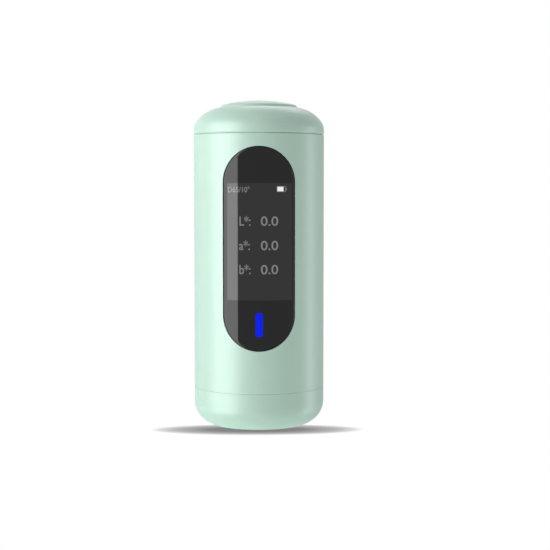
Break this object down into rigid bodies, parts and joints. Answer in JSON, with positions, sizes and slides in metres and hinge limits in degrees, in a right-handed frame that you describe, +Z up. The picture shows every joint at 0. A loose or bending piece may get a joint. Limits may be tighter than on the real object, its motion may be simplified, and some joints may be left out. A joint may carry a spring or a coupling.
{
  "type": "handheld color meter",
  "caption": "Hand-held color meter: tubular body with a pill-shaped window and display, a domed press-button top, and a calibration cap that the measuring nose docks in.",
  "frame": {"origin": "middle of the face that the closed meter stands on", "axes": "+Z up along the body's axis, -Y out of the window, +Y out of the charging port, +X to the right as the display is read"},
  "size_m": [0.031, 0.031, 0.0771],
  "materials": {
    "mint_shell": "satin, fine moulded grain",
    "window_black": "polished dark acrylic, black print behind",
    "adhesive_black": "thin black foam tape",
    "bezel_black": "matt black moulding",
    "panel_glass": "polished display glass",
    "light_blue": "clear light pipe lit blue",
    "nose_black": "fine matt black moulding",
    "aperture_metal": "turned and dark anodised",
    "sphere_white": "diffuse white",
    "tile_white": "glazed white tile",
    "liner_grey": "matt moulding",
    "magnet_nickel": "nickel plated",
    "foot_rubber": "matt elastomer",
    "chassis_grey": "glass-filled moulding",
    "board_green": "solder mask",
    "chip_black": "moulded epoxy",
    "shield_steel": "drawn shield can",
    "lamp_yellow": "phosphor under clear resin",
    "barrel_black": "black anodised, matt",
    "lens_glass": "polished",
    "flex_amber": "polyimide film",
    "battery_foil": "satin laminate pouch",
    "pad_foam": "closed-cell foam tape",
    "connector_white": "moulded nylon",
    "lead_red": "insulated wire",
    "plunger_red": "moulded",
    "screw_steel": "zinc plated"
  },
  "bodies": {
    "calibration_cap": {"cap_shell": "mint_shell", "foot_pad": "foot_rubber", "cap_liner": "liner_grey", "cap_magnets": "magnet_nickel", "calibration_tile": "tile_white"},
    "instrument": {"main_tube": "mint_shell", "top_cover": "mint_shell", "window_lens": "window_black", "lens_adhesive": "adhesive_black", "display_bezel": "bezel_black", "display_panel": "panel_glass", "light_bar": "light_blue", "nose_shell": "nose_black", "aperture_ring": "aperture_metal", "sphere_lower": "sphere_white", "sphere_upper": "sphere_white", "nose_magnets": "magnet_nickel", "chassis": "chassis_grey", "led_board": "board_green", "sensor_board": "board_green", "main_board": "board_green", "touch_board": "board_green", "usb_board": "board_green", "button_board": "board_green", "spectral_sensor": "chip_black", "processor": "chip_black", "button_switch": "chip_black", "wireless_module": "shield_steel", "usb_receptacle": "shield_steel", "measuring_leds": "lamp_yellow", "indicator_led": "lamp_yellow", "detector_tube": "barrel_black", "detector_lens": "lens_glass", "display_flex": "flex_amber", "battery": "battery_foil", "battery_pads": "pad_foam", "battery_connector": "connector_white", "battery_leads": "lead_red", "board_screws": "screw_steel", "nose_screws": "screw_steel"},
    "button": {"press_button": "mint_shell", "switch_plunger": "plunger_red"}
  },
  "joints": [
    {"name": "lift_off", "type": "slide", "parent": "calibration_cap", "child": "instrument", "axis": [0, 0, 1], "range_m": [0, 0.03]},
    {"name": "button_press", "type": "slide", "parent": "instrument", "child": "button", "axis": [0, 0, -1], "range_m": [0, 0.0004], "stiffness_N_per_m": 800, "springref_m": -0.0015}
  ]
}
